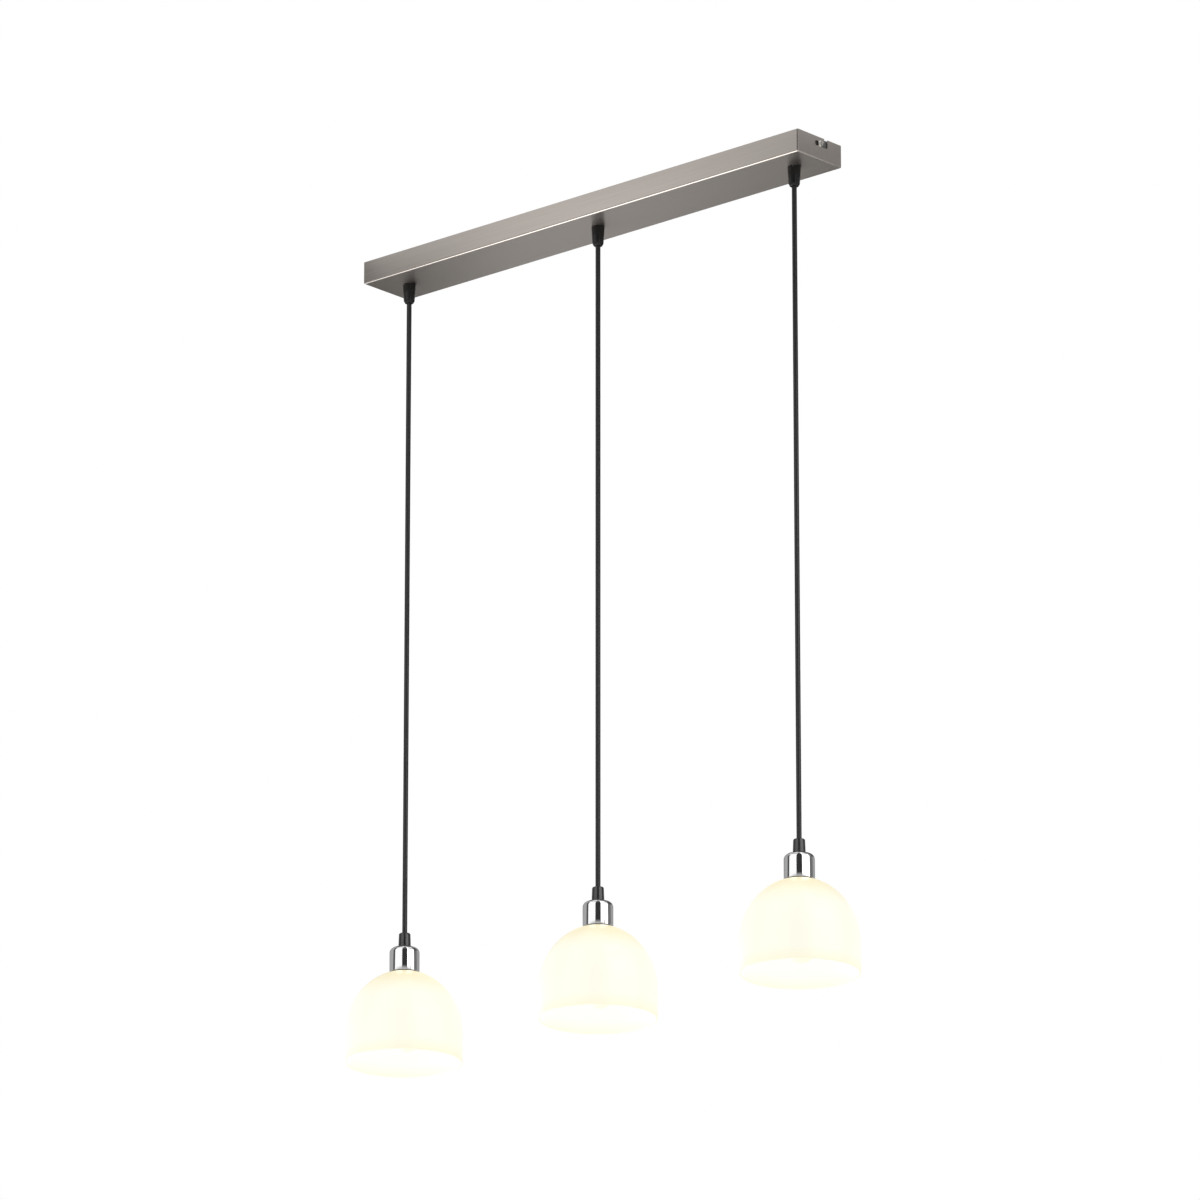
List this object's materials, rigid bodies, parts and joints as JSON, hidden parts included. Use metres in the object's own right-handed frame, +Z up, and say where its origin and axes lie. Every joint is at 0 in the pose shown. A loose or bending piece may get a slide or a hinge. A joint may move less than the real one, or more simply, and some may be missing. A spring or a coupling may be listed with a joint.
{
  "type": "linear pendant light",
  "caption": "Linear pendant light: long brushed nickel ceiling box, straight black cords, chrome socket cups and lit opal glass dome shades in a row.",
  "frame": {"origin": "on the ceiling, at the middle of the ceiling bracket's upper face", "axes": "+Z up, X along the ceiling box, the front of the box towards -Y"},
  "size_m": [0.76, 0.14, 1.0121],
  "materials": {
    "brushed_nickel": "satin nickel on steel, brushed along the box",
    "zinc_steel": "zinc-plated steel, as rolled",
    "nickel_screw": "bright nickel plating",
    "terminal_plastic": "moulded, satin",
    "brown_wire": "extruded insulation",
    "blue_wire": "extruded insulation",
    "earth_wire": "extruded insulation",
    "black_gland": "moulded, glossy",
    "cord_sheath": "extruded sheath, satin",
    "polished_chrome": "polished chrome plating",
    "black_rubber": "moulded rubber, satin",
    "holder_plastic": "moulded, satin",
    "holder_ceramic": "glazed steatite",
    "contact_brass": "stamped brass",
    "opal_glass": "blown opal glass, lit from inside",
    "lamp_opal": "opal globe, lit",
    "lamp_white": "moulded, satin",
    "lamp_nickel": "rolled nickel-plated cap",
    "lamp_black": "vitrified insulator",
    "lamp_solder": "tinned contact"
  },
  "bodies": {
    "ceiling": {"ceiling_box": "brushed_nickel", "ceiling_bracket": "zinc_steel", "side_screws": "nickel_screw", "terminal_block": "terminal_plastic", "terminal_screws": "zinc_steel", "live_wires": "brown_wire", "neutral_wires": "blue_wire", "earth_wires": "earth_wire", "gland_nuts": "zinc_steel", "ceiling_gland_left": "black_gland", "cord_tail_left": "cord_sheath", "ceiling_gland_middle": "black_gland", "cord_tail_middle": "cord_sheath", "ceiling_gland_right": "black_gland", "cord_tail_right": "cord_sheath"},
    "pendant_left": {"cord_left": "cord_sheath", "lamp_grip_left": "black_gland", "socket_cup_left": "polished_chrome", "cup_gasket_left": "black_rubber", "holder_cap_left": "holder_plastic", "holder_shell_left": "holder_plastic", "holder_core_left": "holder_ceramic", "lamp_contacts_left": "contact_brass", "glass_shade_left": "opal_glass"},
    "ring_left": {"shade_ring_left": "holder_plastic"},
    "lamp_left": {"lamp_globe_left": "lamp_opal", "lamp_collar_left": "lamp_white", "lamp_cap_left": "lamp_nickel", "lamp_insulator_left": "lamp_black", "lamp_tip_left": "lamp_solder"},
    "pendant_middle": {"cord_middle": "cord_sheath", "lamp_grip_middle": "black_gland", "socket_cup_middle": "polished_chrome", "cup_gasket_middle": "black_rubber", "holder_cap_middle": "holder_plastic", "holder_shell_middle": "holder_plastic", "holder_core_middle": "holder_ceramic", "lamp_contacts_middle": "contact_brass", "glass_shade_middle": "opal_glass"},
    "ring_middle": {"shade_ring_middle": "holder_plastic"},
    "lamp_middle": {"lamp_globe_middle": "lamp_opal", "lamp_collar_middle": "lamp_white", "lamp_cap_middle": "lamp_nickel", "lamp_insulator_middle": "lamp_black", "lamp_tip_middle": "lamp_solder"},
    "pendant_right": {"cord_right": "cord_sheath", "lamp_grip_right": "black_gland", "socket_cup_right": "polished_chrome", "cup_gasket_right": "black_rubber", "holder_cap_right": "holder_plastic", "holder_shell_right": "holder_plastic", "holder_core_right": "holder_ceramic", "lamp_contacts_right": "contact_brass", "glass_shade_right": "opal_glass"},
    "ring_right": {"shade_ring_right": "holder_plastic"},
    "lamp_right": {"lamp_globe_right": "lamp_opal", "lamp_collar_right": "lamp_white", "lamp_cap_right": "lamp_nickel", "lamp_insulator_right": "lamp_black", "lamp_tip_right": "lamp_solder"}
  },
  "joints": [
    {"name": "swing_left", "type": "hinge", "parent": "ceiling", "child": "pendant_left", "pos_m": [-0.31, 0, -0.052], "axis": [1, 0, 0], "range_deg": [-25, 25]},
    {"name": "ring_turn_left", "type": "hinge", "parent": "pendant_left", "child": "ring_left", "pos_m": [-0.31, 0, -0.908], "axis": [0, 0, -1], "range_deg": [0, 1080]},
    {"name": "lamp_turn_left", "type": "hinge", "parent": "pendant_left", "child": "lamp_left", "pos_m": [-0.31, 0, -0.932], "axis": [0, 0, -1], "range_deg": [0, 1080]},
    {"name": "swing_middle", "type": "hinge", "parent": "ceiling", "child": "pendant_middle", "pos_m": [0, 0, -0.052], "axis": [1, 0, 0], "range_deg": [-25, 25]},
    {"name": "ring_turn_middle", "type": "hinge", "parent": "pendant_middle", "child": "ring_middle", "pos_m": [0, 0, -0.908], "axis": [0, 0, -1], "range_deg": [0, 1080]},
    {"name": "lamp_turn_middle", "type": "hinge", "parent": "pendant_middle", "child": "lamp_middle", "pos_m": [0, 0, -0.932], "axis": [0, 0, -1], "range_deg": [0, 1080]},
    {"name": "swing_right", "type": "hinge", "parent": "ceiling", "child": "pendant_right", "pos_m": [0.31, 0, -0.052], "axis": [1, 0, 0], "range_deg": [-25, 25]},
    {"name": "ring_turn_right", "type": "hinge", "parent": "pendant_right", "child": "ring_right", "pos_m": [0.31, 0, -0.908], "axis": [0, 0, -1], "range_deg": [0, 1080]},
    {"name": "lamp_turn_right", "type": "hinge", "parent": "pendant_right", "child": "lamp_right", "pos_m": [0.31, 0, -0.932], "axis": [0, 0, -1], "range_deg": [0, 1080]}
  ]
}
